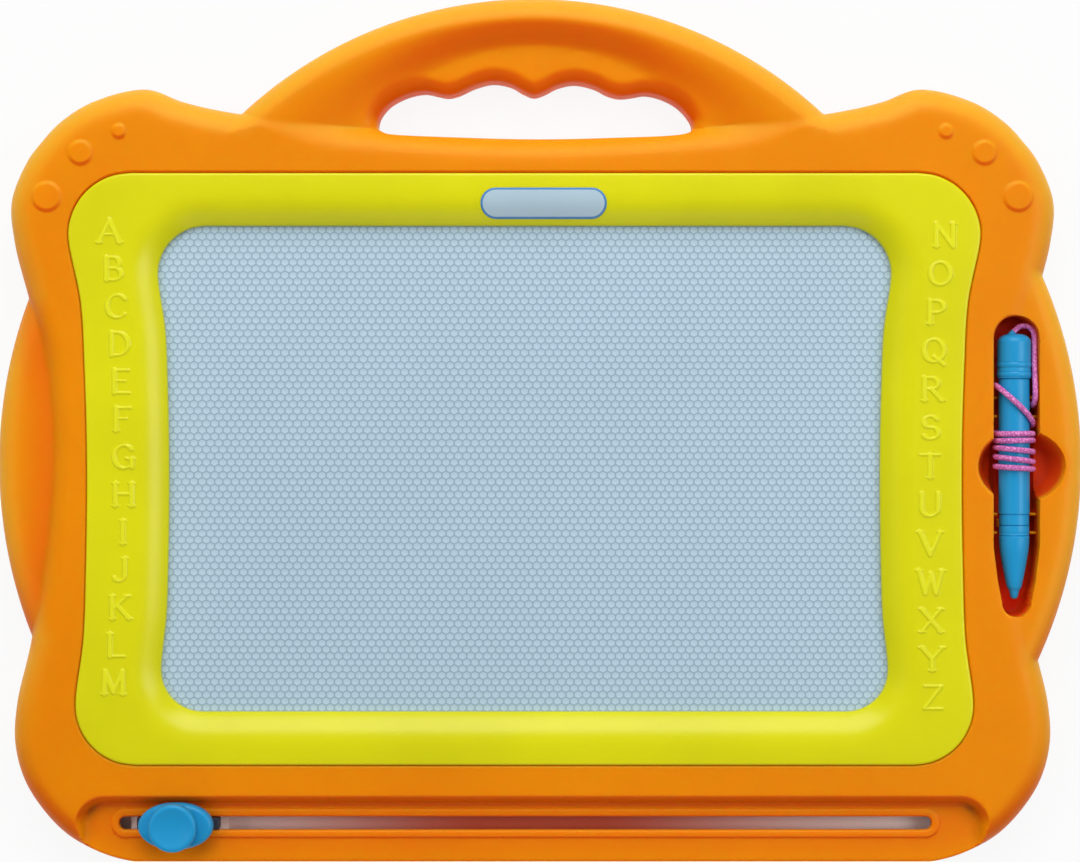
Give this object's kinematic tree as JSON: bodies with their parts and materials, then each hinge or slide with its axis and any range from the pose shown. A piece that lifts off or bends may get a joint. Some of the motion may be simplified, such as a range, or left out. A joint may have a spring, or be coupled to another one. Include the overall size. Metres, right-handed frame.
{
  "type": "magnetic drawing board",
  "caption": "Portable magnetic drawing board with a carrying handle, a framed screen, a sliding eraser knob and a corded pen in a tray.",
  "frame": {"origin": "centre of the bounding box's bottom face, on the surface that the board's back lies on", "axes": "+X to the right of a person who looks at the screen, +Y up the board towards its carrying handle, +Z out of the screen"},
  "size_m": [0.4204, 0.335, 0.031],
  "materials": {
    "orange_shell": "satin moulded plastic",
    "yellow_bezel": "satin moulded plastic",
    "blue_plastic": "satin moulded plastic",
    "screen_film": "smooth clear film over grey-blue cells",
    "screen_core": "honeycomb of sealed cells",
    "grey_plastic": "matte moulded plastic",
    "dark_plastic": "matte moulded plastic",
    "magnet": "flexible bonded magnet",
    "steel_screw": "zinc-plated steel",
    "pink_cord": "braided nylon cord"
  },
  "bodies": {
    "board": {"front_shell": "orange_shell", "rear_shell": "orange_shell", "bezel_frame": "yellow_bezel", "screen_front_film": "screen_film", "screen_cell_core": "screen_core", "screen_back_film": "screen_film", "screen_retainer": "grey_plastic", "lower_glide_strip": "grey_plastic", "upper_glide_strip": "grey_plastic", "cord_tether": "pink_cord", "shell_screw_1": "steel_screw", "shell_screw_2": "steel_screw", "shell_screw_3": "steel_screw", "shell_screw_4": "steel_screw", "shell_screw_5": "steel_screw", "shell_screw_6": "steel_screw", "shell_screw_7": "steel_screw", "shell_screw_8": "steel_screw", "shell_screw_9": "steel_screw", "shell_screw_10": "steel_screw", "retainer_screw_1": "steel_screw", "retainer_screw_2": "steel_screw", "retainer_screw_3": "steel_screw", "retainer_screw_4": "steel_screw", "retainer_screw_5": "steel_screw", "retainer_screw_6": "steel_screw"},
    "eraser": {"slider_knob": "blue_plastic", "slider_block": "dark_plastic", "eraser_arm": "grey_plastic", "eraser_magnet": "magnet", "knob_screw_1": "steel_screw", "knob_screw_2": "steel_screw"},
    "pen": {"pen_barrel": "blue_plastic", "pen_end_cap": "blue_plastic", "pen_nose": "blue_plastic", "pen_nib": "blue_plastic", "pen_magnet": "magnet", "cord_winding": "pink_cord"}
  },
  "joints": [
    {"name": "eraser_slide", "type": "slide", "parent": "board", "child": "eraser", "axis": [1, 0, 0], "range_m": [-0.0045, 0.2735]},
    {"name": "pen_lift", "type": "slide", "parent": "board", "child": "pen", "axis": [0, 0, 1], "range_m": [0, 0.03]}
  ]
}
